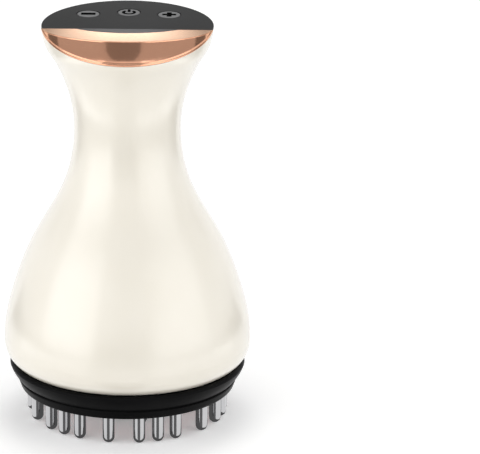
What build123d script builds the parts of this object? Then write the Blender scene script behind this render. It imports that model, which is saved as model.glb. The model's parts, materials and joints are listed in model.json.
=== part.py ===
from build123d import *
from math import atan2, cos, degrees, hypot, pi, radians, sin
import os

os.makedirs("parts", exist_ok=True)

# A handheld body massager that stands on the tips of its studs.
# Millimetres, +Z up, origin under the middle of the head in the plane of the stud tips, front towards -Y.

# Running and seating clearances, how far a cutter reaches past what it cuts, and how closely
# a place on the flank is searched
FIT = 0.1
GAP = 0.3
OVER = 1.0
SEARCH_STOP = 1e-6

# Housing. Its belly closes round the head's spigot and its rim round the stack of parts inside,
# so those two follow further down from the sizes of what they hold.
NECK_RADIUS, RIM_RADIUS = 18.9, 30.3
LIP_FLARE, LIP_RISE = 0.3, 3.6
# The flank's character: shares of the way from belly to neck, and from neck to rim, (radius, height)
FLANK_SHARES = [(0.121, 0.237), (0.430, 0.500), (0.840, 0.750)]
FLARE_SHARES = [(0.170, 0.402), (0.668, 0.729)]
NECK_SHARE = 0.6563
# Under the belly the side turns in, first slowly as far as the turn, then to the edge of the mouth
BELLY_PROUD, BELLY_RISE = 4.4, 7.9
TURN_DROP, TURN_IN = 3.5, 0.55
MOUTH_LIP = 0.3
WALL = 2.2

# Massage head, from the stud tips upwards and from the middle outwards
STUD_RADIUS, STUD_EXPOSED = 2.1, 10.6
STUD_HEAD_RADIUS, STUD_HEAD_HEIGHT = 2.65, 1.2
STUD_HOLE_FIT = 0.05
RECESS_RADIUS, RECESS_DEPTH = 3.05, 0.6
INNER_PITCH_RADII, INNER_RAYS = (8.94, 15.34), 8
DISC_MARGIN, DISC_PROUD = 3.96, 0.6
RING_WIDTH, RING_EDGE_PROUD, RING_BOW = 7.3, 0.3, 0.9
RING_LAP, RING_FLANGE = 1.5, 1.0
DISC_LAP = 0.6
PLATE_INNER_MARGIN, PLATE_OUTER_MARGIN, PLATE_THICKNESS = 7.2, 3.4, 2.0

# Stud pattern: angles run from the front towards +X
PATTERN_ANGLE = 20.5
OUTER_GROUPS, TRIPLE_ANGLE = 6, 11.57
SINGLE_ANGLE = 2.4
SCREW_OUTWARDS, SCREW_ANGLE = 0.2, 22.0

# Carrier behind the plates, with the pocket for the lamp board
CARRIER_HEIGHT = 4.8
POCKET_HEIGHT = 3.2
LAMP_BOARD_THICKNESS, LAMP_HEIGHT = 1.2, 0.8
LAMP_COUNT, LAMP_LENGTH, LAMP_WIDTH = 12, 3.5, 2.8

# Bezel: a narrow lower band, a groove, and an upper band that swells out and rounds in under the housing;
# each is proud of the face plate by so much
LIP_PROUD = 0.3
LIP_ROUND, LIP_BOW = (0.65, 1.0), 0.12
BEZEL_LIP_PROUD, BAND_PROUD, BAND_HEIGHT = 0.8, 1.8, 3.0
BAND_ROUND, BAND_BOW = 0.5, 0.15
GROOVE_HEIGHT, SWELL_START_PROUD = 0.6, 2.0
SWELL_PROUD, SWELL_HEIGHT, SWELL_BOW = 4.7, 4.5, 0.25
SHOULDER_PROUD, SHOULDER_HEIGHT, SHOULDER_BOW = 3.6, 5.6, 0.35
LEDGE_DEPTH, LEDGE_THICKNESS = 1.6, 1.6
SPIGOT_PROUD, SPIGOT_WALL, SPIGOT_HEIGHT = 2.3, 1.7, 5.5
SEAL_RISE, SEAL_SECTION, SEAL_SQUEEZE = 3.0, 0.55, 0.05
COLUMN_RADIUS, COLUMN_RISE = 3.4, 1.9

# Chassis and the screws
CHASSIS_THICKNESS = 2.0
BODY_SCREW_COUNT, BODY_SCREW_ANGLE = 4, 85.0
BODY_SCREW_INSET, BODY_SCREW_RADIUS, BODY_SCREW_ENGAGED = 5.5, 1.45, 11.0
SCREW_HEAD_RADIUS, SCREW_HEAD_HEIGHT = 2.7, 2.2
BOSS_RADIUS, BOSS_TOP, BOSS_RIB = 3.4, 58.0, 2.0
FACE_SCREW_RADIUS, FACE_SCREW_HEAD_RADIUS, FACE_SCREW_HEAD = 1.2, 2.0, 1.5
FACE_SCREW_HOLE_RADIUS, FACE_SCREW_SUNK, FACE_SCREW_BITE = 2.1, 4.8, 6.6
PAD_RADIUS, PAD_HEIGHT = 3.0, 8.6
DRIVE_SLOT, DRIVE_SPAN = 0.6, 1.3

# Vibration motor, its weight and the frame that carries motor and battery
MOTOR_RADIUS, MOTOR_CAN_LENGTH, ENDCAP_LENGTH = 12.0, 27.0, 3.0
MOTOR_NOSE_RADIUS, MOTOR_NOSE_LENGTH = 3.0, 1.5
SHAFT_RADIUS = 1.0
WEIGHT_RADIUS, WEIGHT_HUB_RADIUS, WEIGHT_LENGTH, WEIGHT_GAP = 9.0, 3.0, 6.0, 1.0
FRAME_FOOT_RADIUS, FRAME_FOOT_HEIGHT = 19.0, 3.0
FRAME_LEGS, LEG_WIDTH, LEG_RADIUS = 3, 6.0, 16.3
FRAME_SHELF = 4.0
FRAME_SCREW_PITCH_RADIUS, FRAME_SCREW_RADIUS, FRAME_SCREW_LENGTH = 16.0, 1.0, 4.4
SMALL_HEAD_RADIUS, SMALL_HEAD_HEIGHT = 1.9, 1.2
BATTERY_RADIUS, BATTERY_LENGTH, BATTERY_EDGE = 9.2, 65.0, 0.5
CONTACT_RADIUS, CONTACT_THICKNESS = 6.0, 0.4
CUP_WALL, CUP_HEIGHT = 1.9, 30.0
CAP_WALL, CAP_DEPTH, CAP_TOP = 1.5, 20.0, 1.6
FIN_COUNT, FIN_WIDTH, FIN_HEIGHT = 3, 2.0, 10.0

# Main board at the back, and the charging socket whose mouth lies just inside the housing's outer face
BOARD_WIDTH, BOARD_HEIGHT, BOARD_THICKNESS = 22.0, 39.0, 1.6
RAIL_DEPTH, RAIL_HEIGHT, RAIL_WIDTH, RAIL_LAP = 6.0, 12.0, 3.5, 1.5
# Controller, coil and two capacitors on the board: (width, height, depth, across, above the chassis)
BOARD_PARTS = [(8.0, 8.0, 1.2, -5.0, 22.0), (5.0, 5.0, 3.0, 6.5, 23.0), (2.0, 3.2, 1.0, 5.5, 16.0),
               (2.0, 3.2, 1.0, 9.0, 16.0)]
SOCKET_WIDTH, SOCKET_HEIGHT, SOCKET_LENGTH, SOCKET_WALL = 8.94, 3.26, 7.35, 0.3
SOCKET_BACK, SOCKET_TONGUE_WIDTH, SOCKET_TONGUE_THICKNESS, SOCKET_TONGUE_LENGTH = 1.0, 6.4, 0.7, 5.3
SOCKET_BELOW_BOARD_TOP, SOCKET_SUNK = 4.5, 0.5
PORT_MARGIN = 0.25

# Control end: panel, trim and keys. The trim's two planes meet on a line in front of the middle.
CAP_ROOM = 3.6
PANEL_EDGE, PANEL_PLUG, PANEL_INSET = 0.6, 1.6, 0.15
TRIM_START, SPLIT = 3.9, 0.5
TRIM_DROP, TRIM_RUN = 5.8, 28.6
TRIM_WALL, TRIM_TOP = 2.6, 1.6
SKIRT_WALL, SKIRT_DEPTH, SKIRT_START = 1.2, 3.0, 3.6
BEAD_PROUD, BEAD_HEIGHT = 0.25, 1.1
TONGUE_HALF_WIDTH, TONGUE_REACH = 18.0, 8.5
KEY_RADIUS, KEY_PROUD, KEY_EDGE = 3.85, 0.2, 0.15
KEY_FLANGE, KEY_FLANGE_RADIUS = 0.8, 4.8
# How far inside the rim each key lies, and at what angle from the front
KEY_SPOTS = {"minus": (10.5, -133.8), "mode": (14.4, 180.0), "plus": (10.5, 133.8)}
DISH_RADIUS, DISH_DEPTH = 4.3, 0.2
KEY_TRAVEL = 0.5
SWITCH_SIZE, SWITCH_HEIGHT = 6.0, 1.6
PLUNGER_RADIUS = 1.6
KEY_BOARD_THICKNESS, KEY_BOARD_INSET = 1.2, 6.8
PANEL_BOSS_INSET, PANEL_BOSS_ANGLES = 9.45, (-159.7, -101.0, 101.0, 159.7)
PANEL_BOSS_RADIUS, PANEL_SCREW_RADIUS, PANEL_SCREW_BITE = 2.2, 0.95, 2.6

# Radii that follow from the sizes above, from the middle outwards
WINDOW_INNER = INNER_PITCH_RADII[-1] + DISC_MARGIN
WINDOW_OUTER = WINDOW_INNER + RING_WIDTH
LAMP_PITCH_RADIUS = (WINDOW_INNER + WINDOW_OUTER) / 2
OUTER_PITCH_RADIUS = WINDOW_OUTER + PLATE_INNER_MARGIN
SCREW_PITCH_RADIUS = OUTER_PITCH_RADIUS + SCREW_OUTWARDS
PLATE_RADIUS = OUTER_PITCH_RADIUS + PLATE_OUTER_MARGIN
SPIGOT_RADIUS = PLATE_RADIUS + SPIGOT_PROUD
CHASSIS_RADIUS = SPIGOT_RADIUS - 2 * FIT
BODY_SCREW_PITCH_RADIUS = SPIGOT_RADIUS - BODY_SCREW_INSET
SOCKET_RADIUS = SPIGOT_RADIUS + FIT
MOUTH_RADIUS = SOCKET_RADIUS + MOUTH_LIP
BELLY_RADIUS = SPIGOT_RADIUS + BELLY_PROUD
LIP_RADIUS, LIP_SLOPE = RIM_RADIUS + LIP_FLARE, LIP_FLARE / LIP_RISE
KEY_BOARD_RADIUS = RIM_RADIUS - KEY_BOARD_INSET

# Heights that follow, from the stud tips upwards
FACE_HEIGHT = STUD_EXPOSED
PLATE_BACK = FACE_HEIGHT + PLATE_THICKNESS
CARRIER_BACK = PLATE_BACK + CARRIER_HEIGHT
LAMP_BOARD_BOTTOM = PLATE_BACK + POCKET_HEIGHT - LAMP_BOARD_THICKNESS
BAND_TOP = FACE_HEIGHT + BAND_HEIGHT
GROOVE_TOP = BAND_TOP + GROOVE_HEIGHT
SHOULDER = GROOVE_TOP + SHOULDER_HEIGHT
MOUTH_HEIGHT = SHOULDER + GAP
COLUMN_BOTTOM = MOUTH_HEIGHT + COLUMN_RISE
SEAL_HEIGHT = MOUTH_HEIGHT + SEAL_RISE
SPIGOT_TOP = MOUTH_HEIGHT + SPIGOT_HEIGHT
BELLY_HEIGHT = MOUTH_HEIGHT + BELLY_RISE
FACE_SCREW_SEAT = FACE_HEIGHT + FACE_SCREW_SUNK
FACE_SCREW_END = CARRIER_BACK + FACE_SCREW_BITE
CHASSIS_BOTTOM = BELLY_HEIGHT
CHASSIS_TOP = CHASSIS_BOTTOM + CHASSIS_THICKNESS
BODY_SCREW_END = CHASSIS_TOP + BODY_SCREW_ENGAGED
MOTOR_TOP = CHASSIS_TOP + MOTOR_CAN_LENGTH + ENDCAP_LENGTH
WEIGHT_TOP = CHASSIS_BOTTOM - WEIGHT_GAP
SHELF_BOTTOM = MOTOR_TOP + MOTOR_NOSE_LENGTH + GAP
SHELF_TOP = SHELF_BOTTOM + FRAME_SHELF
BATTERY_BOTTOM = SHELF_TOP + CONTACT_THICKNESS
BATTERY_TOP = BATTERY_BOTTOM + BATTERY_LENGTH
CAP_CEILING = BATTERY_TOP + CONTACT_THICKNESS
BOARD_TOP = CHASSIS_TOP + BOARD_HEIGHT
SOCKET_CENTRE = BOARD_TOP - SOCKET_BELOW_BOARD_TOP
KEY_BOARD_BOTTOM = CAP_CEILING + CAP_TOP + CAP_ROOM
KEY_BOARD_TOP = KEY_BOARD_BOTTOM + KEY_BOARD_THICKNESS
PLUNGER_BOTTOM = KEY_BOARD_TOP + 2 * GAP + KEY_TRAVEL
SWITCH_TOP = KEY_BOARD_TOP + SWITCH_HEIGHT
FLANGE_BOTTOM = SWITCH_TOP + KEY_TRAVEL + 2 * GAP
PLUG_BOTTOM = FLANGE_BOTTOM + KEY_FLANGE + FIT
SEAT = PLUG_BOTTOM + PANEL_PLUG
RIM_HEIGHT = SEAT + PANEL_EDGE
NECK_HEIGHT = BELLY_HEIGHT + NECK_SHARE * (RIM_HEIGHT - BELLY_HEIGHT)
REACH = 3 * BELLY_RADIUS
SKY = RIM_HEIGHT + REACH / 4

BASE = (Align.CENTER, Align.CENTER, Align.MIN)


def save(name, *shapes):
    solids = [solid for shape in shapes for solid in shape.solids()]
    export_step(solids[0] if len(solids) == 1 else Compound(solids), f"parts/{name}.step")


def rod(radius, low, high, x=0.0, y=0.0):
    return Pos(x, y, low) * Cylinder(radius, high - low, align=BASE)


def ring(outer, inner, low, high):
    return rod(outer, low, high) - rod(inner, low - OVER, high + OVER)


def block(width, depth, low, high, x=0.0, y=0.0):
    return Pos(x, y, low) * Box(width, depth, high - low, align=BASE)


def turned(*edges):
    return revolve(make_face(list(edges)), Axis.Z)


def outline_path(*points):
    return Polyline(*[(radius, 0, height) for radius, height in points])


def bowed(start, end, bow):
    """An arc between two (radius, height) points; on the way up it bulges outwards by bow."""
    run, rise = end[0] - start[0], end[1] - start[1]
    length = hypot(run, rise)
    middle = ((start[0] + end[0]) / 2 + bow * rise / length, (start[1] + end[1]) / 2 - bow * run / length)
    return ThreePointArc(*[(radius, 0, height) for radius, height in (start, middle, end)])


def place(radius, angle):
    """A spot at an angle from the front towards +X."""
    return radius * sin(radians(angle)), -radius * cos(radians(angle))


def turn_to(angle):
    """A turn that takes the front, -Y, to that angle."""
    return Rot(0, 0, angle)


def flank(inset):
    """The housing's side from the belly to the rim, moved inwards by an inset."""
    points = [(BELLY_RADIUS, BELLY_HEIGHT)]
    for across, up in FLANK_SHARES:
        points.append((BELLY_RADIUS + (NECK_RADIUS - BELLY_RADIUS) * across,
                       BELLY_HEIGHT + (NECK_HEIGHT - BELLY_HEIGHT) * up))
    points.append((NECK_RADIUS, NECK_HEIGHT))
    for across, up in FLARE_SHARES:
        points.append((NECK_RADIUS + (RIM_RADIUS - NECK_RADIUS) * across,
                       NECK_HEIGHT + (RIM_HEIGHT - NECK_HEIGHT) * up))
    points.append((RIM_RADIUS, RIM_HEIGHT))
    knots = [(radius - inset, 0, height) for radius, height in points]
    return Spline(*knots, tangents=[(0, 0, 1), (LIP_SLOPE, 0, 1)])


def side_radius(height):
    """The housing's outer radius at a height between belly and rim, found by halving along the flank."""
    side, low, high = flank(0), 0.0, 1.0
    while high - low > SEARCH_STOP:
        middle = (low + high) / 2
        if (side @ middle).Z < height:
            low = middle
        else:
            high = middle
    return (side @ low).X


def core(inset):
    """Everything inside the housing's side, moved inwards by an inset, from the belly to above the lip."""
    side = flank(inset)
    start, end = side @ 0, side @ 1
    top = (end.X + LIP_SLOPE * (SKY - RIM_HEIGHT), SKY)
    around = outline_path((end.X, end.Z), top, (0, SKY), (0, BELLY_HEIGHT), (start.X, BELLY_HEIGHT))
    return turned(side, around)


def above_slope(rise=0.0):
    """Space above the trim's lower plane, which falls forwards from the line where the trim starts."""
    fall = degrees(atan2(TRIM_DROP, TRIM_RUN - TRIM_START))
    return Pos(0, -TRIM_START, RIM_HEIGHT + rise) * Rot(fall, 0, 0) * Box(REACH, REACH, REACH, align=BASE)


def below_ramp(depth=0.0):
    """Space under the trim's top plane, which rises forwards from the line where the trim starts."""
    climb = degrees(atan2(LIP_RISE, LIP_RADIUS - TRIM_START))
    under = Box(REACH, REACH, REACH, align=(Align.CENTER, Align.CENTER, Align.MAX))
    return Pos(0, -TRIM_START, RIM_HEIGHT - depth) * Rot(-climb, 0, 0) * under


def front_of(y):
    return Pos(0, y, 0) * Box(REACH, REACH, 3 * REACH, align=(Align.CENTER, Align.MAX, Align.CENTER))


def behind(y):
    return Pos(0, y, 0) * Box(REACH, REACH, 3 * REACH, align=(Align.CENTER, Align.MIN, Align.CENTER))


def above_shell():
    """Space above the housing's top: the panel's seat at the back and the trim's slanted seat in front."""
    return (above_slope() & front_of(-TRIM_START)) + block(REACH, REACH, SEAT, SKY)


def tongue(clearance=0.0):
    """Upright prism over the panel's tongue, which lies on the ramp."""
    half, reach = TONGUE_HALF_WIDTH + clearance, TONGUE_REACH + clearance
    front = ThreePointArc((-half, 0), (0, -reach), (half, 0))
    back = Polyline((half, 0), (half, SPLIT), (-half, SPLIT), (-half, 0))
    return Pos(0, -TRIM_START, 0) * extrude(make_face([front, back]), SKY)


# Places of studs and screws

def stud_places():
    outer, inner = [], [(0.0, 0.0)]
    for group in range(OUTER_GROUPS):
        centre = PATTERN_ANGLE + group * 360 / OUTER_GROUPS
        outer += [place(OUTER_PITCH_RADIUS, centre + side * TRIPLE_ANGLE) for side in (-1, 0, 1)]
        beside_screw = group % (OUTER_GROUPS // 2) == 0
        single = centre + 180 / OUTER_GROUPS + (SINGLE_ANGLE if beside_screw else 0.0)
        outer.append(place(OUTER_PITCH_RADIUS, single))
    for radius in INNER_PITCH_RADII:
        inner += [place(radius, PATTERN_ANGLE + ray * 360 / INNER_RAYS) for ray in range(INNER_RAYS)]
    return outer, inner


OUTER_STUDS, INNER_STUDS = stud_places()
FACE_SCREW_ANGLES = [PATTERN_ANGLE + SCREW_ANGLE + half for half in (0, 180)]
BODY_SCREW_ANGLES = [BODY_SCREW_ANGLE + index * 360 / BODY_SCREW_COUNT for index in range(BODY_SCREW_COUNT)]
FACE_SCREWS = [place(SCREW_PITCH_RADIUS, angle) for angle in FACE_SCREW_ANGLES]
BODY_SCREWS = [place(BODY_SCREW_PITCH_RADIUS, angle) for angle in BODY_SCREW_ANGLES]
FRAME_SCREWS = [place(FRAME_SCREW_PITCH_RADIUS, (index + 0.5) * 360 / FRAME_LEGS)
                for index in range(FRAME_LEGS)]
KEY_PLACES = {name: place(RIM_RADIUS - inset, angle) for name, (inset, angle) in KEY_SPOTS.items()}
PANEL_BOSS_PLACES = [place(RIM_RADIUS - PANEL_BOSS_INSET, angle) for angle in PANEL_BOSS_ANGLES]
BOARD_BACK = side_radius(SOCKET_CENTRE) - SOCKET_SUNK - SOCKET_LENGTH
BOARD_MIDDLE = BOARD_BACK - BOARD_THICKNESS / 2


def holes(places, radius, low, high):
    return [rod(radius, low, high, x, y) for x, y in places]


def screw(radius, head_radius, head_height, seat, end, x, y):
    """A screw that points up: its head below the seat, a cross in the head, its shank up to the end."""
    head = rod(head_radius, seat - head_height, seat)
    for turn in (0, 90):
        head -= Rot(0, 0, turn) * block(DRIVE_SPAN * head_radius, DRIVE_SLOT, seat - head_height - OVER,
                                        seat - head_height / 2)
    return Pos(x, y, 0) * (head + rod(radius, seat, end))


# Housing

def body_shell():
    turn = (BELLY_RADIUS - TURN_IN, 0, BELLY_HEIGHT - TURN_DROP)
    upper_arc = TangentArc((BELLY_RADIUS, 0, BELLY_HEIGHT), turn, tangent=(0, 0, -1))
    lower = turned(
        upper_arc,
        TangentArc(turn, (MOUTH_RADIUS, 0, MOUTH_HEIGHT), tangent=upper_arc % 1),
        outline_path((MOUTH_RADIUS, MOUTH_HEIGHT), (0, MOUTH_HEIGHT), (0, BELLY_HEIGHT),
                     (BELLY_RADIUS, BELLY_HEIGHT)),
    )
    socket_floor = MOUTH_HEIGHT - OVER
    cavity = core(WALL) + turned(outline_path(
        (0, socket_floor), (SOCKET_RADIUS, socket_floor), (SOCKET_RADIUS, SPIGOT_TOP + GAP),
        (BELLY_RADIUS - WALL, BELLY_HEIGHT), (0, BELLY_HEIGHT), (0, socket_floor)))
    shell = core(0) + lower - cavity
    inside = core(WALL / 2)
    rib_depth = BELLY_RADIUS - BODY_SCREW_PITCH_RADIUS
    rib = block(BOSS_RIB, rib_depth, CHASSIS_TOP + GAP, BOSS_TOP, 0, rib_depth / 2 - BELLY_RADIUS)
    for angle, (x, y) in zip(BODY_SCREW_ANGLES, BODY_SCREWS):
        boss = rod(BOSS_RADIUS, CHASSIS_TOP, BOSS_TOP, x, y) + turn_to(angle) * rib
        shell += boss & inside
    shell -= holes(BODY_SCREWS, BODY_SCREW_RADIUS, CHASSIS_TOP - OVER, BODY_SCREW_END + OVER)
    port = Pos(0, 0, SOCKET_CENTRE) * Rot(-90, 0, 0) * extrude(
        SlotOverall(SOCKET_WIDTH + 2 * PORT_MARGIN, SOCKET_HEIGHT + 2 * PORT_MARGIN), REACH)
    return shell - port - above_shell()


# Massage head

def base_bezel():
    bore = PLATE_RADIUS + 2 * FIT
    lip_bottom = FACE_HEIGHT - LIP_PROUD
    inner_spigot = SPIGOT_RADIUS - SPIGOT_WALL
    ledge, ledge_top = PLATE_RADIUS - LEDGE_DEPTH, CARRIER_BACK + LEDGE_THICKNESS
    lip_start = (PLATE_RADIUS + BEZEL_LIP_PROUD - LIP_ROUND[0] / 2, lip_bottom)
    lip_end = (lip_start[0] + LIP_ROUND[0], lip_bottom + LIP_ROUND[1])
    band_end = (PLATE_RADIUS + BAND_PROUD, BAND_TOP - BAND_ROUND)
    groove_bottom = (band_end[0] - BAND_ROUND, BAND_TOP)
    swell_start = (PLATE_RADIUS + SWELL_START_PROUD, GROOVE_TOP)
    swell_end = (PLATE_RADIUS + SWELL_PROUD, GROOVE_TOP + SWELL_HEIGHT)
    shoulder_end = (PLATE_RADIUS + SHOULDER_PROUD, SHOULDER)
    bezel = turned(
        outline_path((bore, lip_bottom), lip_start),
        bowed(lip_start, lip_end, LIP_BOW),
        outline_path(lip_end, band_end),
        bowed(band_end, groove_bottom, BAND_BOW),
        outline_path(groove_bottom, (groove_bottom[0], GROOVE_TOP), swell_start),
        bowed(swell_start, swell_end, SWELL_BOW),
        bowed(swell_end, shoulder_end, SHOULDER_BOW),
        outline_path(shoulder_end, (SPIGOT_RADIUS, SHOULDER), (SPIGOT_RADIUS, SPIGOT_TOP),
                     (inner_spigot, SPIGOT_TOP), (inner_spigot, ledge_top), (ledge, ledge_top),
                     (ledge, CARRIER_BACK), (bore, CARRIER_BACK), (bore, lip_bottom)),
    )
    web_outer = SPIGOT_RADIUS - SPIGOT_WALL / 2
    for angle, (x, y) in zip(BODY_SCREW_ANGLES, BODY_SCREWS):
        bezel += rod(COLUMN_RADIUS, COLUMN_BOTTOM, CHASSIS_BOTTOM, x, y)
        bezel += turn_to(angle) * radial_web(COLUMN_RADIUS, BODY_SCREW_PITCH_RADIUS, web_outer,
                                             COLUMN_BOTTOM, SPIGOT_TOP)
    for angle, (x, y) in zip(FACE_SCREW_ANGLES, FACE_SCREWS):
        bezel += rod(PAD_RADIUS, CARRIER_BACK, CARRIER_BACK + PAD_HEIGHT, x, y)
        bezel += turn_to(angle) * radial_web(PAD_RADIUS, SCREW_PITCH_RADIUS, web_outer, CARRIER_BACK,
                                             SPIGOT_TOP)
    bezel -= holes(BODY_SCREWS, BODY_SCREW_RADIUS + FIT, COLUMN_BOTTOM - OVER, CHASSIS_BOTTOM + OVER)
    bezel -= holes(FACE_SCREWS, FACE_SCREW_RADIUS, CARRIER_BACK - OVER, FACE_SCREW_END + OVER)
    groove_half = SEAL_SECTION + GAP / 2
    return bezel - ring(SPIGOT_RADIUS + OVER, SPIGOT_RADIUS - 2 * SEAL_SECTION, SEAL_HEIGHT - groove_half,
                        SEAL_HEIGHT + groove_half)


def radial_web(width, inner, outer, low, high):
    """An upright plate at the front that ties a boss at the inner radius to a wall at the outer one."""
    return block(width, outer - inner, low, high, 0, -(inner + outer) / 2)


def seal_ring():
    return Pos(0, 0, SEAL_HEIGHT) * Torus(SPIGOT_RADIUS + SEAL_SQUEEZE - SEAL_SECTION, SEAL_SECTION)


def face_plate():
    plate = ring(PLATE_RADIUS, WINDOW_OUTER + FIT, FACE_HEIGHT, PLATE_BACK)
    plate -= holes(OUTER_STUDS, STUD_RADIUS + STUD_HOLE_FIT, FACE_HEIGHT - OVER, PLATE_BACK + OVER)
    plate -= holes(OUTER_STUDS, RECESS_RADIUS, FACE_HEIGHT - OVER, FACE_HEIGHT + RECESS_DEPTH)
    plate -= holes(FACE_SCREWS, FACE_SCREW_HOLE_RADIUS, FACE_HEIGHT - OVER, PLATE_BACK + OVER)
    return plate


def centre_disc():
    front = FACE_HEIGHT - DISC_PROUD
    disc = rod(WINDOW_INNER - FIT, front, PLATE_BACK)
    disc -= holes(INNER_STUDS, STUD_RADIUS + STUD_HOLE_FIT, front - OVER, PLATE_BACK + OVER)
    disc -= holes(INNER_STUDS, RECESS_RADIUS, front - OVER, front + RECESS_DEPTH)
    return disc


def light_ring():
    edge, back = FACE_HEIGHT - RING_EDGE_PROUD, PLATE_BACK + RING_FLANGE
    inner_lap, outer_lap = WINDOW_INNER - DISC_LAP, WINDOW_OUTER + RING_LAP
    return turned(
        bowed((WINDOW_INNER, edge), (WINDOW_OUTER, edge), RING_BOW),
        outline_path((WINDOW_OUTER, edge), (WINDOW_OUTER, PLATE_BACK), (outer_lap, PLATE_BACK),
                     (outer_lap, back), (inner_lap, back), (inner_lap, PLATE_BACK),
                     (WINDOW_INNER, PLATE_BACK), (WINDOW_INNER, edge)),
    )


def studs(places):
    """Pins with a round tip and a flat head that the carrier holds against the plate's back."""
    tip = ThreePointArc((0, 0, 0), (STUD_RADIUS * sin(pi / 4), 0, STUD_RADIUS * (1 - cos(pi / 4))),
                        (STUD_RADIUS, 0, STUD_RADIUS))
    top = PLATE_BACK + STUD_HEAD_HEIGHT
    side = outline_path((STUD_RADIUS, STUD_RADIUS), (STUD_RADIUS, PLATE_BACK), (STUD_HEAD_RADIUS, PLATE_BACK),
                        (STUD_HEAD_RADIUS, top), (0, top), (0, 0))
    return [Pos(x, y, 0) * turned(tip, side) for x, y in places]


def stud_carrier():
    carrier = rod(PLATE_RADIUS, PLATE_BACK, CARRIER_BACK)
    carrier -= ring(WINDOW_OUTER + RING_LAP + FIT, WINDOW_INNER - DISC_LAP - FIT, PLATE_BACK - OVER,
                    PLATE_BACK + POCKET_HEIGHT)
    carrier -= holes(OUTER_STUDS + INNER_STUDS, STUD_HEAD_RADIUS + FIT, PLATE_BACK - OVER,
                     PLATE_BACK + STUD_HEAD_HEIGHT)
    carrier -= holes(FACE_SCREWS, FACE_SCREW_HOLE_RADIUS, PLATE_BACK - OVER, FACE_SCREW_SEAT)
    carrier -= holes(FACE_SCREWS, FACE_SCREW_RADIUS + FIT, PLATE_BACK - OVER, CARRIER_BACK + OVER)
    return carrier


def led_board():
    return ring(WINDOW_OUTER + RING_LAP - FIT, WINDOW_INNER - DISC_LAP + FIT, LAMP_BOARD_BOTTOM,
                LAMP_BOARD_BOTTOM + LAMP_BOARD_THICKNESS)


def leds():
    lamp = block(LAMP_LENGTH, LAMP_WIDTH, LAMP_BOARD_BOTTOM - LAMP_HEIGHT, LAMP_BOARD_BOTTOM, 0,
                 -LAMP_PITCH_RADIUS)
    return [turn_to(index * 360 / LAMP_COUNT) * lamp for index in range(LAMP_COUNT)]


# Chassis, motor, battery

def chassis_plate():
    plate = rod(CHASSIS_RADIUS, CHASSIS_BOTTOM, CHASSIS_TOP)
    plate -= rod(MOTOR_NOSE_RADIUS + FIT, CHASSIS_BOTTOM - OVER, CHASSIS_TOP + OVER)
    plate -= holes(BODY_SCREWS, BODY_SCREW_RADIUS + FIT, CHASSIS_BOTTOM - OVER, CHASSIS_TOP + OVER)
    plate -= holes(FRAME_SCREWS, FRAME_SCREW_RADIUS + FIT, CHASSIS_BOTTOM - OVER, CHASSIS_TOP + OVER)
    rail_x = BOARD_WIDTH / 2 + FIT - RAIL_LAP + RAIL_WIDTH / 2
    for side in (-1, 1):
        plate += block(RAIL_WIDTH, RAIL_DEPTH, CHASSIS_TOP, CHASSIS_TOP + RAIL_HEIGHT, side * rail_x,
                       BOARD_MIDDLE)
    return plate - block(BOARD_WIDTH + 2 * FIT, BOARD_THICKNESS + 2 * FIT, CHASSIS_TOP,
                         CHASSIS_TOP + RAIL_HEIGHT + OVER, 0, BOARD_MIDDLE)


def inner_frame():
    leg_inner = MOTOR_RADIUS + FIT
    frame = ring(FRAME_FOOT_RADIUS, leg_inner, CHASSIS_TOP, CHASSIS_TOP + FRAME_FOOT_HEIGHT)
    leg = block(LEG_WIDTH, 2 * LEG_RADIUS, CHASSIS_TOP, SHELF_TOP, 0, -LEG_RADIUS)
    leg &= ring(LEG_RADIUS, leg_inner, CHASSIS_TOP, SHELF_TOP)
    for index in range(FRAME_LEGS):
        frame += turn_to(index * 360 / FRAME_LEGS) * leg
    cup_inner = BATTERY_RADIUS + FIT
    frame += rod(LEG_RADIUS, SHELF_BOTTOM, SHELF_TOP)
    frame += ring(cup_inner + CUP_WALL, cup_inner, SHELF_TOP, SHELF_TOP + CUP_HEIGHT)
    return frame - holes(FRAME_SCREWS, FRAME_SCREW_RADIUS, CHASSIS_TOP - OVER,
                         CHASSIS_BOTTOM + FRAME_SCREW_LENGTH + GAP)


def motor_can():
    can = rod(MOTOR_RADIUS, CHASSIS_TOP, CHASSIS_TOP + MOTOR_CAN_LENGTH)
    can += rod(MOTOR_NOSE_RADIUS, CHASSIS_TOP - MOTOR_NOSE_LENGTH, CHASSIS_TOP)
    return can - rod(SHAFT_RADIUS + FIT / 2, CHASSIS_BOTTOM - OVER, MOTOR_TOP)


def motor_endcap():
    low = CHASSIS_TOP + MOTOR_CAN_LENGTH
    nose_top = MOTOR_TOP + MOTOR_NOSE_LENGTH
    cap = rod(MOTOR_RADIUS - GAP, low, MOTOR_TOP) + rod(MOTOR_NOSE_RADIUS, MOTOR_TOP, nose_top)
    return cap - rod(SHAFT_RADIUS + FIT / 2, low - OVER, MOTOR_TOP + GAP)


def motor_shaft():
    return rod(SHAFT_RADIUS, WEIGHT_TOP - WEIGHT_LENGTH - GAP, MOTOR_TOP)


def eccentric_weight():
    bottom = WEIGHT_TOP - WEIGHT_LENGTH
    half = rod(WEIGHT_RADIUS, bottom, WEIGHT_TOP) & front_of(0)
    return half + rod(WEIGHT_HUB_RADIUS, bottom, WEIGHT_TOP) - rod(SHAFT_RADIUS, bottom - OVER,
                                                                   WEIGHT_TOP + OVER)


def battery():
    cell = rod(BATTERY_RADIUS, BATTERY_BOTTOM, BATTERY_TOP)
    return fillet(cell.edges().filter_by(GeomType.CIRCLE), BATTERY_EDGE)


def battery_contacts():
    return [rod(CONTACT_RADIUS, SHELF_TOP, BATTERY_BOTTOM), rod(CONTACT_RADIUS, BATTERY_TOP, CAP_CEILING)]


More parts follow.
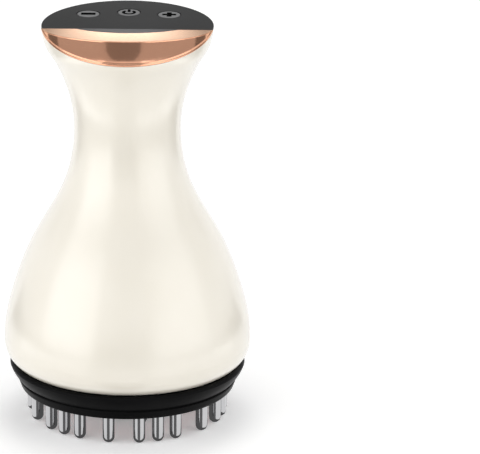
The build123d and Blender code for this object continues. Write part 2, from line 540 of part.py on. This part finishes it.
def battery_cap():
    """A cup over the cell's upper end; its fins reach the housing's neck and keep the cell central."""
    inner, outer = BATTERY_RADIUS + FIT, BATTERY_RADIUS + FIT + CAP_WALL
    bottom, top = BATTERY_TOP - CAP_DEPTH, CAP_CEILING + CAP_TOP
    cap = rod(outer, bottom, top) - rod(inner, bottom - OVER, CAP_CEILING)
    fin = radial_web(FIN_WIDTH, inner + CAP_WALL / 2, BELLY_RADIUS, bottom, bottom + FIN_HEIGHT)
    fin = (fin - rod(inner + CAP_WALL / 2, bottom - OVER, top)) & core(WALL + FIT)
    for index in range(FIN_COUNT):
        cap += turn_to(index * 360 / FIN_COUNT) * fin
    return cap


# Boards

def main_board():
    return block(BOARD_WIDTH, BOARD_THICKNESS, CHASSIS_TOP, BOARD_TOP, 0, BOARD_MIDDLE)


def board_parts():
    pieces = []
    for width, height, depth, across, up in BOARD_PARTS:
        low, y = CHASSIS_TOP + up - height / 2, BOARD_BACK - BOARD_THICKNESS - depth / 2
        pieces.append(block(width, depth, low, low + height, across, y))
    return pieces


def charging_socket():
    outer = SlotOverall(SOCKET_WIDTH, SOCKET_HEIGHT)
    inner = SlotOverall(SOCKET_WIDTH - 2 * SOCKET_WALL, SOCKET_HEIGHT - 2 * SOCKET_WALL)
    shell = extrude(outer, SOCKET_LENGTH) - Pos(0, 0, SOCKET_BACK) * extrude(inner, SOCKET_LENGTH)
    shell += Box(SOCKET_TONGUE_WIDTH, SOCKET_TONGUE_THICKNESS, SOCKET_TONGUE_LENGTH, align=BASE)
    return Pos(0, BOARD_BACK, SOCKET_CENTRE) * Rot(-90, 0, 0) * shell


def key_board():
    board = rod(KEY_BOARD_RADIUS, KEY_BOARD_BOTTOM, KEY_BOARD_TOP) & behind(0)
    return board - holes(PANEL_BOSS_PLACES, PANEL_SCREW_RADIUS + FIT, KEY_BOARD_BOTTOM - OVER,
                         KEY_BOARD_TOP + OVER)


def tact_switches():
    return [block(SWITCH_SIZE, SWITCH_SIZE, KEY_BOARD_TOP, SWITCH_TOP, x, y)
            - rod(PLUNGER_RADIUS + FIT, KEY_BOARD_TOP + GAP, SWITCH_TOP + OVER, x, y)
            for x, y in KEY_PLACES.values()]


# Control end

def plunger(x, y):
    return rod(PLUNGER_RADIUS, PLUNGER_BOTTOM, FLANGE_BOTTOM, x, y)


def button(x, y):
    key = rod(KEY_RADIUS, FLANGE_BOTTOM, RIM_HEIGHT - DISH_DEPTH + KEY_PROUD, x, y)
    key = fillet(key.faces().sort_by(Axis.Z)[-1].edges(), KEY_EDGE)
    return key + rod(KEY_FLANGE_RADIUS, FLANGE_BOTTOM, FLANGE_BOTTOM + KEY_FLANGE, x, y)


def control_panel():
    """A thin cover on the rim with a plug below it, and the tongue that lies on the trim's ramp."""
    back_part = behind(FIT - TRIM_START - SPLIT)
    panel = core(0) & block(REACH, REACH, SEAT, RIM_HEIGHT) & back_part
    panel += core(WALL + PANEL_INSET) & block(REACH, REACH, PLUG_BOTTOM, SEAT) & back_part
    panel += (tongue() & below_ramp() & front_of(-TRIM_START)) - below_ramp(TRIM_TOP)
    for x, y in PANEL_BOSS_PLACES:
        panel += rod(PANEL_BOSS_RADIUS, KEY_BOARD_TOP, PLUG_BOTTOM, x, y)
    panel -= holes(PANEL_BOSS_PLACES, PANEL_SCREW_RADIUS, KEY_BOARD_TOP - OVER,
                   KEY_BOARD_TOP + PANEL_SCREW_BITE + GAP)
    panel -= holes(KEY_PLACES.values(), KEY_RADIUS + FIT, PLUG_BOTTOM - OVER, SKY)
    return panel - holes(KEY_PLACES.values(), DISH_RADIUS, RIM_HEIGHT - DISH_DEPTH, SKY)


def front_trim():
    """A wedge between two planes that meet on a line: ramp above, wall in front, bead and skirt below."""
    front = front_of(-TRIM_START - SPLIT)
    wedge = core(0) & above_shell() & below_ramp() & front
    trim = wedge - (core(TRIM_WALL) & below_ramp(TRIM_TOP)) - tongue(FIT)
    bead = ((core(-BEAD_PROUD) - core(WALL / 2)) & above_slope() & below_ramp()) - above_slope(BEAD_HEIGHT)
    skirt = core(WALL + FIT) - core(WALL + FIT + SKIRT_WALL)
    skirt &= above_slope(-SKIRT_DEPTH) & below_ramp(TRIM_TOP / 2) & front_of(-TRIM_START - SKIRT_START)
    return trim + (bead & front) + skirt


save("body_shell", body_shell())
save("base_bezel", base_bezel())
save("seal_ring", seal_ring())
save("face_plate", face_plate())
save("centre_disc", centre_disc())
save("light_ring", light_ring())
save("outer_studs", *studs(OUTER_STUDS))
save("inner_studs", *studs(INNER_STUDS))
save("stud_carrier", stud_carrier())
save("led_board", led_board())
save("leds", *leds())
save("face_screws", *[screw(FACE_SCREW_RADIUS, FACE_SCREW_HEAD_RADIUS, FACE_SCREW_HEAD, FACE_SCREW_SEAT,
                            FACE_SCREW_END, x, y) for x, y in FACE_SCREWS])
save("body_screws", *[screw(BODY_SCREW_RADIUS, SCREW_HEAD_RADIUS, SCREW_HEAD_HEIGHT, COLUMN_BOTTOM,
                            BODY_SCREW_END, x, y) for x, y in BODY_SCREWS])
save("chassis_plate", chassis_plate())
save("inner_frame", inner_frame())
save("frame_screws", *[screw(FRAME_SCREW_RADIUS, SMALL_HEAD_RADIUS, SMALL_HEAD_HEIGHT, CHASSIS_BOTTOM,
                             CHASSIS_BOTTOM + FRAME_SCREW_LENGTH, x, y) for x, y in FRAME_SCREWS])
save("motor_can", motor_can())
save("motor_endcap", motor_endcap())
save("motor_shaft", motor_shaft())
save("eccentric_weight", eccentric_weight())
save("battery", battery())
save("battery_contacts", *battery_contacts())
save("battery_cap", battery_cap())
save("main_board", main_board())
save("board_parts", *board_parts())
save("charging_socket", charging_socket())
save("key_board", key_board())
save("tact_switches", *tact_switches())
save("panel_screws", *[screw(PANEL_SCREW_RADIUS, SMALL_HEAD_RADIUS, SMALL_HEAD_HEIGHT, KEY_BOARD_BOTTOM,
                             KEY_BOARD_TOP + PANEL_SCREW_BITE, x, y) for x, y in PANEL_BOSS_PLACES])
for name, (x, y) in KEY_PLACES.items():
    save(f"button_{name}", button(x, y))
    save(f"plunger_{name}", plunger(x, y))
save("control_panel", control_panel())
save("front_trim", front_trim())
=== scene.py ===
"""Looks of a handheld body massager that stands on the rounded studs of its head."""
import json
from math import cos, pi, radians, sin

import bmesh
import bpy
from mathutils import Euler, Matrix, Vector


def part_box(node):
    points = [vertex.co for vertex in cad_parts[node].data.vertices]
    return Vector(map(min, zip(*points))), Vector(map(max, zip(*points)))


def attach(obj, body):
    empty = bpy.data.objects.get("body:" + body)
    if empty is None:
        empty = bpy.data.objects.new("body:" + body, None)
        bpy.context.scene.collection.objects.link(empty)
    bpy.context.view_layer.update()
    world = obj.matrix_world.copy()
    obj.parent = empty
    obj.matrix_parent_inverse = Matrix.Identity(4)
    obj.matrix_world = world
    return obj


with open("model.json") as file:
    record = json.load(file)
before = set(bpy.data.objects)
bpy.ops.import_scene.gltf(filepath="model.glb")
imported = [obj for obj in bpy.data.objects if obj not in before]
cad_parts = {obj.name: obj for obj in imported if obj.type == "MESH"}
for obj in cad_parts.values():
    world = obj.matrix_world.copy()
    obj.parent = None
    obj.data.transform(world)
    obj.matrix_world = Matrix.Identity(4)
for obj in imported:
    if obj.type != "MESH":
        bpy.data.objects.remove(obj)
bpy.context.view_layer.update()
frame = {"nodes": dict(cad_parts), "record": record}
nodes = frame["nodes"]

MM = 0.001


# Node helpers

def material(name, **values):
    """A Principled material with these values on the shader's own sockets."""
    made = bpy.data.materials.new(name)
    made.use_nodes = True
    shader = made.node_tree.nodes["Principled BSDF"]
    for key, value in values.items():
        socket = shader.inputs[key.replace("_", " ")]
        socket.default_value = (*value, 1.0) if isinstance(value, tuple) else value
    return made, made.node_tree, shader


def place_node(tree):
    """Object coordinates, which a CAD node and a new piece share, in metres."""
    for node in tree.nodes:
        if node.type == "TEX_COORD":
            return node
    return tree.nodes.new("ShaderNodeTexCoord")


def noise(tree, scale, detail):
    texture = tree.nodes.new("ShaderNodeTexNoise")
    texture.inputs["Scale"].default_value = scale
    texture.inputs["Detail"].default_value = detail
    tree.links.new(place_node(tree).outputs["Object"], texture.inputs["Vector"])
    return texture.outputs["Fac"]


def ranged(tree, value, low, high, start, end):
    """The value, which runs from start to end, as one that runs from low to high."""
    step = tree.nodes.new("ShaderNodeMapRange")
    step.inputs["From Min"].default_value = start
    step.inputs["From Max"].default_value = end
    step.inputs["To Min"].default_value = low
    step.inputs["To Max"].default_value = high
    tree.links.new(value, step.inputs["Value"])
    return step.outputs["Result"]


def ramp(tree, value, *stops):
    """A colour ramp between two (position, colour) stops."""
    node = tree.nodes.new("ShaderNodeValToRGB")
    for element, (position, colour) in zip(node.color_ramp.elements, stops):
        element.position = position
        element.color = (*colour, 1.0)
    tree.links.new(value, node.inputs["Fac"])
    return node.outputs["Color"]


def bump(tree, shader, height, distance):
    node = tree.nodes.new("ShaderNodeBump")
    node.inputs["Strength"].default_value = 1.0
    node.inputs["Distance"].default_value = distance
    tree.links.new(height, node.inputs["Height"])
    tree.links.new(node.outputs["Normal"], shader.inputs["Normal"])


def math_node(tree, operation, *values):
    """The output of a math node; each value is a number or another node's output."""
    node = tree.nodes.new("ShaderNodeMath")
    node.operation = operation
    for socket, value in zip(node.inputs, values):
        if isinstance(value, float):
            socket.default_value = value
        else:
            tree.links.new(value, socket)
    return node.outputs[0]


def mix_shaders(tree, share, first, second):
    """The first shader, with the second in its place by this share."""
    node = tree.nodes.new("ShaderNodeMixShader")
    for socket, value in zip(node.inputs, (share, first, second)):
        tree.links.new(value, socket)
    return node.outputs[0]


# Surfaces, with noise scales in cells per metre

TINT_DRIFT, TINT_DARK_AT, TINT_LIGHT_AT = 60.0, 0.3, 0.7
ROUGH_DRIFT, ROUGH_LOW_AT, ROUGH_HIGH_AT = 900.0, 0.35, 0.65
DRIFT_DETAIL, GRAIN_DETAIL = 3.0, 2.0
BEVEL_SAMPLES = 8


def finish_surface(tree, shader, tint, rough, grain, depth):
    """Colour that drifts between two tints, roughness between two values, and a fine moulded grain."""
    dark, light = tint
    drift = noise(tree, TINT_DRIFT, DRIFT_DETAIL)
    colour = ramp(tree, drift, (TINT_DARK_AT, dark), (TINT_LIGHT_AT, light))
    tree.links.new(colour, shader.inputs["Base Color"])
    polish = ranged(tree, noise(tree, ROUGH_DRIFT, DRIFT_DETAIL), *rough, ROUGH_LOW_AT, ROUGH_HIGH_AT)
    tree.links.new(polish, shader.inputs["Roughness"])
    bump(tree, shader, noise(tree, grain, GRAIN_DETAIL), depth)


def plastic(name, tint, rough, grain=2500.0, depth=0.01 * MM, **values):
    made, tree, shader = material(name, **values)
    finish_surface(tree, shader, tint, rough, grain, depth)
    return made


def metal(name, tint, rough, grain=1800.0, depth=0.001 * MM, **values):
    made, tree, shader = material(name, Metallic=1.0, **values)
    finish_surface(tree, shader, tint, rough, grain, depth)
    return made


def soften_edges(made, radius):
    """Sharp edges that shade as if slightly rounded, under the grain that is there already."""
    tree = made.node_tree
    edge = tree.nodes.new("ShaderNodeBevel")
    edge.samples = BEVEL_SAMPLES
    edge.inputs["Radius"].default_value = radius
    for node in tree.nodes:
        if node.type == "BUMP":
            tree.links.new(edge.outputs["Normal"], node.inputs["Normal"])
    return made


# Materials: the two tints of each colour, then the two ends of its roughness

def pearl():
    return plastic("pearl_housing", ((0.838, 0.790, 0.686), (0.853, 0.807, 0.708)), (0.28, 0.32),
                   grain=1400.0, depth=0.0008 * MM,
                   Specular_IOR_Level=1.0, Coat_Weight=1.0, Coat_Roughness=0.2)


def bezel_black():
    return plastic("bezel_black", ((0.004, 0.004, 0.0042), (0.006, 0.006, 0.0063)), (0.32, 0.38),
                   depth=0.004 * MM, Specular_IOR_Level=0.03)


def face_black():
    return plastic("face_black", ((0.008, 0.008, 0.009), (0.012, 0.012, 0.013)), (0.38, 0.48))


def red_lens():
    return plastic("red_lens", ((0.78, 0.020, 0.020), (0.85, 0.032, 0.030)), (0.12, 0.2),
                   grain=1200.0, depth=0.005 * MM, Coat_Weight=0.4)


def stud_chrome():
    return metal("stud_chrome", ((0.52, 0.52, 0.53), (0.59, 0.59, 0.60)), (0.06, 0.11))


def rose_gold():
    polished = metal("rose_gold", ((0.85, 0.44, 0.285), (0.88, 0.47, 0.31)), (0.10, 0.15),
                     Specular_Tint=(1.0, 0.92, 0.78))
    return soften_edges(polished, radius=0.7 * MM)


def panel_grey():
    return plastic("panel_grey", ((0.026, 0.026, 0.0263), (0.030, 0.030, 0.0304)), (0.28, 0.30),
                   depth=0.0005 * MM, Specular_IOR_Level=0.04)


def key_grey():
    return plastic("key_grey", ((0.165, 0.165, 0.167), (0.19, 0.19, 0.192)), (0.42, 0.48), depth=0.002 * MM)


def symbol_black():
    return plastic("symbol_black", ((0.003, 0.003, 0.003), (0.005, 0.005, 0.005)), (0.3, 0.4),
                   depth=0.002 * MM, Specular_IOR_Level=0.0)


# One material for each slot of the record
SLOT_MATERIALS = {
    "pearl_housing": pearl(),
    "bezel_black": bezel_black(),
    "face_black": face_black(),
    "red_lens": red_lens(),
    "stud_chrome": stud_chrome(),
    "rose_gold": rose_gold(),
    "panel_grey": panel_grey(),
    "key_grey": key_grey(),
    "seal_rubber": plastic("seal_rubber", ((0.015, 0.015, 0.015), (0.025, 0.025, 0.025)), (0.7, 0.8)),
    "inner_plastic": plastic("inner_plastic", ((0.06, 0.062, 0.066), (0.075, 0.077, 0.08)), (0.5, 0.6)),
    "circuit_board": plastic("circuit_board", ((0.008, 0.06, 0.03), (0.012, 0.085, 0.045)), (0.35, 0.45)),
    "lamp_white": plastic("lamp_white", ((0.75, 0.72, 0.55), (0.82, 0.79, 0.62)), (0.3, 0.4)),
    "component_black": plastic("component_black", ((0.012, 0.012, 0.012), (0.02, 0.02, 0.02)), (0.5, 0.6)),
    "cell_wrap": plastic("cell_wrap", ((0.02, 0.09, 0.26), (0.03, 0.11, 0.30)), (0.3, 0.4)),
    "screw_steel": metal("screw_steel", ((0.48, 0.48, 0.49), (0.56, 0.56, 0.57)), (0.25, 0.35)),
    "motor_steel": metal("motor_steel", ((0.52, 0.52, 0.53), (0.60, 0.60, 0.61)), (0.28, 0.38)),
    "socket_steel": metal("socket_steel", ((0.58, 0.58, 0.59), (0.66, 0.66, 0.67)), (0.22, 0.32)),
    "weight_brass": metal("weight_brass", ((0.62, 0.47, 0.22), (0.70, 0.54, 0.28)), (0.3, 0.4)),
    "contact_brass": metal("contact_brass", ((0.70, 0.54, 0.27), (0.78, 0.61, 0.33)), (0.25, 0.35)),
}


def dress_nodes():
    for part in frame["record"]["subparts"]:
        mesh = nodes[part["node"]].data
        mesh.materials.clear()
        mesh.materials.append(SLOT_MATERIALS[part["material_slot"]])


# Symbols on the keys: a bar, a plus sign and an open ring with a stroke, printed on the key's top

SYMBOL_THICKNESS, SYMBOL_GAP = 0.04 * MM, 0.005 * MM
BAR_LENGTH, BAR_WIDTH = 5.1 * MM, 2.3 * MM
PLUS_LENGTH, PLUS_WIDTH = 4.9 * MM, 1.7 * MM
RING_OUTER, RING_WALL, RING_OPENING = 2.5 * MM, 1.05 * MM, radians(38)
RING_STEPS = 40
STROKE_LENGTH, STROKE_LIFT = 1.1 * RING_OUTER, 0.75 * RING_OUTER


def raised(name, outlines, body, spot, ink):
    """Flat printed shapes, each an outline of (x, y) points about the spot, as one closed piece."""
    form = bmesh.new()
    x, y, z = spot
    for outline in outlines:
        lower = [form.verts.new((x + a, y + b, z)) for a, b in outline]
        face = form.faces.new(lower)
        lifted = bmesh.ops.extrude_face_region(form, geom=[face])["geom"]
        top = [item for item in lifted if isinstance(item, bmesh.types.BMVert)]
        bmesh.ops.translate(form, verts=top, vec=(0, 0, SYMBOL_THICKNESS))
    bmesh.ops.recalc_face_normals(form, faces=form.faces)
    mesh = bpy.data.meshes.new(name)
    form.to_mesh(mesh)
    form.free()
    mesh.materials.append(ink)
    piece = bpy.data.objects.new(name, mesh)
    bpy.context.scene.collection.objects.link(piece)
    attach(piece, body)


def bar(length, width):
    a, b = length / 2, width / 2
    return [(-a, -b), (a, -b), (a, b), (-a, b)]


def plus(length, width):
    """A plus sign: the same three corners in each quarter."""
    a, b = length / 2, width / 2
    outline = []
    corners = [(a, -b), (a, b), (b, b)]
    for _ in range(4):
        outline += corners
        corners = [(-y, x) for x, y in corners]
    return outline


def open_ring(outer, wall, opening):
    """A ring with a gap at the top."""
    inner = outer - wall
    turn = 2 * (pi - opening)
    angles = [pi / 2 + opening + turn * step / RING_STEPS for step in range(RING_STEPS + 1)]
    outside = [(outer * cos(angle), outer * sin(angle)) for angle in angles]
    inside = [(inner * cos(angle), inner * sin(angle)) for angle in reversed(angles)]
    return outside + inside


def power_sign():
    stroke = [(a, b + STROKE_LIFT) for a, b in bar(RING_WALL, STROKE_LENGTH)]
    return [open_ring(RING_OUTER, RING_WALL, RING_OPENING), stroke]


def key_top(name):
    low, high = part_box(f"button_{name}")
    return (low.x + high.x) / 2, (low.y + high.y) / 2, high.z + SYMBOL_GAP


def make_symbols():
    ink = symbol_black()
    signs = {
        "minus": [bar(BAR_LENGTH, BAR_WIDTH)],
        "plus": [plus(PLUS_LENGTH, PLUS_WIDTH)],
        "mode": power_sign(),
    }
    for name, outlines in signs.items():
        raised(f"symbol_{name}", outlines, f"button_{name}", key_top(name), ink)


# Stage: a floor that takes the shadow, and a white background

FLOOR_SIZE = 8.0
# What the floor adds for the camera alone, and the world's strength as light
FLOOR_GLOW, STUDIO_LEVEL = 0.28, 0.49
WHITE = (1, 1, 1, 1)


def stage_piece(name, vertices, faces):
    """A mesh that belongs to the stage, not to the object."""
    mesh = bpy.data.meshes.new(name)
    mesh.from_pydata(vertices, [], faces)
    piece = bpy.data.objects.new(name, mesh)
    bpy.context.scene.collection.objects.link(piece)
    return piece


def make_floor():
    a = FLOOR_SIZE / 2
    floor = stage_piece("floor", [(-a, -a, 0), (a, -a, 0), (a, a, 0), (-a, a, 0)], [(0, 1, 2, 3)])
    floor.visible_glossy = False
    made, tree, shader = material("floor_white", Base_Color=(0.92, 0.92, 0.92), Roughness=0.9)
    base = shader.outputs[0]
    glow = tree.nodes.new("ShaderNodeEmission")
    glow.inputs["Strength"].default_value = FLOOR_GLOW
    lit = tree.nodes.new("ShaderNodeAddShader")
    tree.links.new(base, lit.inputs[0])
    tree.links.new(glow.outputs[0], lit.inputs[1])
    # Seen from below the floor is clear, so that it doesn't hide the head
    side = tree.nodes.new("ShaderNodeNewGeometry")
    clear = tree.nodes.new("ShaderNodeBsdfTransparent")
    seen = mix_shaders(tree, side.outputs["Backfacing"], lit.outputs[0], clear.outputs[0])
    path = tree.nodes.new("ShaderNodeLightPath")
    surface = mix_shaders(tree, path.outputs["Is Camera Ray"], base, seen)
    tree.links.new(surface, tree.nodes["Material Output"].inputs["Surface"])
    floor.data.materials.append(made)


def make_world():
    """White for the camera, for reflections and through clear parts, and a dimmer white as light."""
    world = bpy.data.worlds.new("studio")
    world.use_nodes = True
    tree = world.node_tree
    studio = tree.nodes["Background"]
    studio.inputs["Color"].default_value = WHITE
    studio.inputs["Strength"].default_value = STUDIO_LEVEL
    white = tree.nodes.new("ShaderNodeBackground")
    white.inputs["Color"].default_value = WHITE
    path = tree.nodes.new("ShaderNodeLightPath")
    seen = path.outputs["Is Camera Ray"]
    for ray in ("Is Glossy Ray", "Is Transmission Ray"):
        seen = math_node(tree, "MAXIMUM", seen, path.outputs[ray])
    surface = mix_shaders(tree, seen, studio.outputs[0], white.outputs[0])
    tree.links.new(surface, tree.nodes["World Output"].inputs["Surface"])
    bpy.context.scene.world = world


# Lamps, which reflections don't see. Azimuths run from the front, -Y, towards +X, in degrees

MIDDLE_HEIGHT = 0.07
LAMP_DISTANCE = 1.3
# Azimuth, elevation, width and height in metres, and the brightness of the lamp's face
LAMPS = {
    "left_box": (-57, 16, 1.6, 0.9, 1.6),
    "right_box": (66, 16, 1.2, 0.9, 1.5),
    "top_box": (175, 64, 0.6, 0.6, 3.4),
    "front_fill": (-4, 3.5, 1.2, 0.28, 1.75),
    "left_rim": (-118, 10, 0.6, 0.5, 1.5),
    "right_rim": (122, 10, 0.6, 0.5, 1.8),
}


def softbox(name, azimuth, elevation, width, height, radiance):
    """A rectangular lamp that faces the object's middle."""
    data = bpy.data.lights.new(name, "AREA")
    data.shape = "RECTANGLE"
    data.size, data.size_y = width, height
    data.energy = radiance * width * height * pi
    turn, lift = radians(azimuth), radians(elevation)
    outward = Vector((sin(turn) * cos(lift), -cos(turn) * cos(lift), sin(lift)))
    lamp = bpy.data.objects.new(name, data)
    lamp.location = Vector((0, 0, MIDDLE_HEIGHT)) + LAMP_DISTANCE * outward
    lamp.rotation_euler = (-outward).to_track_quat("-Z", "Y").to_euler()
    lamp.visible_glossy = False
    bpy.context.scene.collection.objects.link(lamp)


def make_lamps():
    for name, values in LAMPS.items():
        softbox(name, *values)


# Cards that only reflections see, as a photographer's flags and reflectors. They cast no light or shadow

CARD_DISTANCE = 1.5
CARD_STEP = 6
DOME_STEPS = 8


def card_piece(name, vertices, faces):
    """A glowing card, with its material's tree and the glow to set."""
    card = stage_piece(name, vertices, faces)
    card.visible_camera = False
    card.visible_diffuse = False
    card.visible_shadow = False
    card.visible_transmission = False
    made = bpy.data.materials.new(name)
    made.use_nodes = True
    tree = made.node_tree
    tree.nodes.remove(tree.nodes["Principled BSDF"])
    glow = tree.nodes.new("ShaderNodeEmission")
    tree.links.new(glow.outputs[0], tree.nodes["Material Output"].inputs["Surface"])
    card.data.materials.append(made)
    return tree, glow.inputs["Strength"]


def dome(low, high):
    """Profile of a far card that curves round the object's middle between two elevations."""
    lifts = [radians(low + (high - low) * step / DOME_STEPS) for step in range(DOME_STEPS + 1)]
    return [(CARD_DISTANCE * cos(lift), MIDDLE_HEIGHT + CARD_DISTANCE * sin(lift)) for lift in lifts]


def on_floor(start, end, height=1 * MM):
    """Profile of a card that lies just over the floor between two radii."""
    return [(start, height), (end, height)]


def round_card(name, start, end, profile, radiance, pinch=1.0):
    """A card between two azimuths along (radius, height) points; pinch narrows it at the first point."""
    steps = round((end - start) / CARD_STEP)
    middle = (start + end) / 2
    vertices = []
    for place, (radius, height) in enumerate(profile):
        spread = pinch + (1 - pinch) * place / (len(profile) - 1)
        for step in range(steps + 1):
            turn = radians(middle + (end - start) * (step / steps - 0.5) * spread)
            vertices.append((radius * sin(turn), -radius * cos(turn), height))
    row = steps + 1
    faces = [(r * row + s, r * row + s + 1, (r + 1) * row + s + 1, (r + 1) * row + s)
             for r in range(len(profile) - 1) for s in range(steps)]
    _, strength = card_piece(name, vertices, faces)
    strength.default_value = radiance


# Azimuths where the front, side and rear cards meet, and radii where the rings on the floor end
FRONT_LEFT, FRONT_RIGHT, SIDE_END, REAR_END = -30, 22, 104, 130
NEAR_START, NEAR_END, WIDE_END, REAR_REACH = 0.145, 0.195, 0.42, 0.55
FAR_SIDE = dome(-15, 36)
# The trim's bead reflects the near ring, and its wall and the neck reflect the wide one
NEAR, WIDE = on_floor(NEAR_START, NEAR_END), on_floor(NEAR_END, WIDE_END)
REAR = on_floor(NEAR_END, REAR_REACH)
# Azimuths of both ends, profile, brightness and pinch. The front wide card lies over the wide one
ROUND_CARDS = {
    "front_card": (FRONT_LEFT, FRONT_RIGHT, dome(-80, 8), 0.17),
    "left_card": (-84, -29, FAR_SIDE, 1.9),
    "right_card": (28, 84, FAR_SIDE, 1.6),
    "front_near_card": (FRONT_LEFT, FRONT_RIGHT, on_floor(0.07, NEAR_END), 0.9),
    "front_wide_card": (FRONT_LEFT, 23, on_floor(NEAR_END, WIDE_END, 1.5 * MM), 0.25, 0.5),
    "left_near_card": (-SIDE_END, FRONT_LEFT, NEAR, 1.9),
    "right_near_card": (FRONT_RIGHT, SIDE_END, NEAR, 1.9),
    "wide_card": (-SIDE_END, SIDE_END, WIDE, 0.5),
    "rear_left_card": (-REAR_END, -SIDE_END, REAR, 0.2),
    "rear_right_card": (SIDE_END, REAR_END, REAR, 0.2),
}


def make_round_cards():
    for name, values in ROUND_CARDS.items():
        round_card(name, *values)


# The card close behind, whose lower part the metal ramp reflects, and whose upper part the panel and keys

BACK_Y, BACK_HALF, BACK_LOW, BACK_HIGH = 0.15, 0.30, 0.125, 0.26
# Heights between which the lower part gives way to the upper one
PARTS_MEET = (0.1495, 0.1535)
# The lower part is bright in the middle and fades to both sides, and the upper one fades upwards
RAMP_MIDDLE, RAMP_LEVELS, RAMP_FADE = -0.0055, (2.6, 0.36), (0.008, 0.029)
PANEL_LEVELS, PANEL_FADE = (0.8, 0.25), (0.170, 0.205)


def back_card():
    y, half, low, high = BACK_Y, BACK_HALF, BACK_LOW, BACK_HIGH
    corners = [(-half, y, low), (half, y, low), (half, y, high), (-half, y, high)]
    tree, strength = card_piece("back_card", corners, [(0, 1, 2, 3)])
    split = tree.nodes.new("ShaderNodeSeparateXYZ")
    tree.links.new(place_node(tree).outputs["Object"], split.inputs[0])
    across, height = split.outputs["X"], split.outputs["Z"]
    aside = math_node(tree, "ABSOLUTE", math_node(tree, "SUBTRACT", across, RAMP_MIDDLE))
    mix = tree.nodes.new("ShaderNodeMix")
    tree.links.new(ranged(tree, height, 0.0, 1.0, *PARTS_MEET), mix.inputs["Factor"])
    tree.links.new(ranged(tree, aside, *RAMP_LEVELS, *RAMP_FADE), mix.inputs["A"])
    tree.links.new(ranged(tree, height, *PANEL_LEVELS, *PANEL_FADE), mix.inputs["B"])
    tree.links.new(mix.outputs["Result"], strength)


# Painted shadow: a dark sheet under the head, which only reflections see, stands in for the head's shadow
# on the floor that the studs reflect

# The last value is the brightness of the painted shadow under the head, as reflections see it
UNDER_RADIUS, UNDER_HEIGHT, UNDER_SHADOW_LEVEL = 37.5 * MM, -0.5 * MM, 0.12
DISC_STEPS = 48


def under_shadow_card():
    angles = [2 * pi * step / DISC_STEPS for step in range(DISC_STEPS)]
    rim = [(UNDER_RADIUS * cos(angle), UNDER_RADIUS * sin(angle), UNDER_HEIGHT) for angle in angles]
    _, strength = card_piece("under_shadow_card", rim, [tuple(range(DISC_STEPS))])
    strength.default_value = UNDER_SHADOW_LEVEL


# Camera: pitch below the horizon, turn about the object's axis, and the picture column where the axis lies

VIEW_PITCH, VIEW_TURN = radians(19.13), radians(1.9)
VIEW_DISTANCE, AIM_HEIGHT = 2.1311, 0.06896
LENS, SENSOR = 450.0, 36.0
PICTURE_WIDTH, AXIS_COLUMN = 480, 127.5
NEAREST, FARTHEST = 0.1, 50.0


def make_camera():
    data = bpy.data.cameras.new("camera")
    data.lens, data.sensor_width = LENS, SENSOR
    data.shift_x = (PICTURE_WIDTH / 2 - AXIS_COLUMN) / PICTURE_WIDTH
    data.clip_start, data.clip_end = NEAREST, FARTHEST
    camera = bpy.data.objects.new("camera", data)
    level = cos(VIEW_PITCH)
    back = Vector((sin(VIEW_TURN) * level, -cos(VIEW_TURN) * level, sin(VIEW_PITCH)))
    camera.location = Vector((0, 0, AIM_HEIGHT)) + VIEW_DISTANCE * back
    camera.rotation_euler = Euler((pi / 2 - VIEW_PITCH, 0, VIEW_TURN))
    bpy.context.scene.collection.objects.link(camera)
    bpy.context.scene.camera = camera


dress_nodes()
make_symbols()
make_floor()
make_world()
make_lamps()
make_round_cards()
back_card()
under_shadow_card()
make_camera()
bpy.context.scene.view_settings.view_transform = "Standard"
